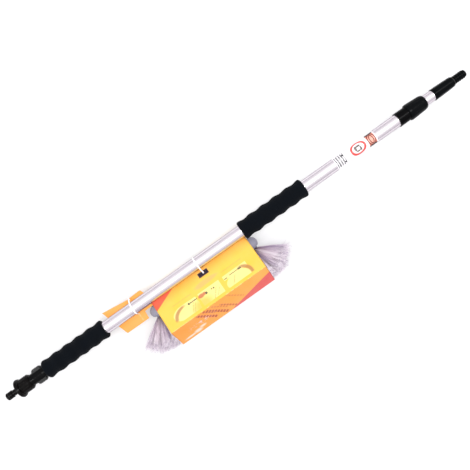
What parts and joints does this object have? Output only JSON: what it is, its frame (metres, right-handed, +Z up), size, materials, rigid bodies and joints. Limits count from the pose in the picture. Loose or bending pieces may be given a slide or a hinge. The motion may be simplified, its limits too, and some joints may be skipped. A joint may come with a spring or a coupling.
{
  "type": "telescoping wash pole",
  "caption": "Telescoping water-fed wash pole with twist lock, rotary valve and hose nipple, tied to its soft brush head in a card sleeve.",
  "frame": {"origin": "on the pole's axis at the lip of the hose nipple", "axes": "+X along the pole from the hose end to the tip; +Z up from the surface it lies on; the brush lies at -Y with its bristles pointing to -Y"},
  "size_m": [1.0812, 0.144, 0.0816],
  "materials": {
    "black_plastic": "moulded, semi-gloss, satin on the flutes",
    "lock_plastic": "moulded, semi-gloss with a faint blue sheen",
    "marker_plastic": "moulded dark brown",
    "washer_rubber": "plain",
    "seal_rubber": "smooth",
    "steel": "turned",
    "tube_metal": "drawn and clear anodised, silvery white",
    "grip_foam": "closed-cell foam, fine-pored and matt",
    "label_film": "white film with plain red and grey blocks",
    "bush_plastic": "plain",
    "collet_plastic": "natural acetal",
    "block_plastic": "moulded blue-grey",
    "bumper_rubber": "soft blue-grey rim, slightly glossy",
    "bristle": "flagged synthetic bristle, grey-mauve at the root and pale lilac at the tip",
    "printed_card": "printed yellow and orange with plain shapes, varnished",
    "orange_card": "printed plain orange, varnished",
    "tie_nylon": "milky nylon"
  },
  "bodies": {
    "pole": {"swivel_spigot": "black_plastic", "valve_core": "black_plastic", "valve_o_rings": "seal_rubber", "valve_stop_pin": "steel", "tube_plug": "black_plastic", "tube_plug_o_ring": "seal_rubber", "outer_tube": "tube_metal", "rear_grip": "grip_foam", "front_grip": "grip_foam", "pole_label": "label_film", "collar_body": "lock_plastic", "stop_bush": "bush_plastic", "lock_collet": "collet_plastic", "brush_block": "block_plastic", "bristle_plate": "block_plastic", "block_gasket": "seal_rubber", "brush_bumper": "bumper_rubber", "brush_socket": "block_plastic", "socket_seal": "seal_rubber", "socket_screws": "steel", "bristles_middle": "bristle", "bristles_rear_end": "bristle", "bristles_front_end": "bristle", "card_sleeve": "printed_card", "card_tongue": "orange_card", "tie_rear": "tie_nylon", "tie_front": "tie_nylon"},
    "hose_connector": {"hose_nipple": "black_plastic", "nipple_o_ring": "seal_rubber", "coupling_nut": "black_plastic", "swivel_washer": "washer_rubber"},
    "valve_ring": {"valve_sleeve": "black_plastic", "valve_marker": "marker_plastic"},
    "lock_ring": {"lock_collar": "lock_plastic", "wiper_ring": "seal_rubber"},
    "inner_pole": {"inner_tube": "tube_metal", "piston": "bush_plastic", "piston_seals": "seal_rubber", "tip_adapter": "lock_plastic", "tip_plug_o_ring": "seal_rubber", "tip_o_ring": "seal_rubber"}
  },
  "joints": [
    {"name": "hose_swivel", "type": "hinge", "parent": "pole", "child": "hose_connector", "pos_m": [0.0285, 0, 0], "axis": [1, 0, 0], "continuous": true},
    {"name": "valve_turn", "type": "hinge", "parent": "pole", "child": "valve_ring", "pos_m": [0.0765, 0, 0], "axis": [1, 0, 0], "range_deg": [0, 90]},
    {"name": "lock_twist", "type": "hinge", "parent": "pole", "child": "lock_ring", "pos_m": [0.965, 0, 0], "axis": [1, 0, 0], "range_deg": [0, 120]},
    {"name": "pole_extend", "type": "slide", "parent": "pole", "child": "inner_pole", "axis": [1, 0, 0], "range_m": [0, 0.62]}
  ]
}
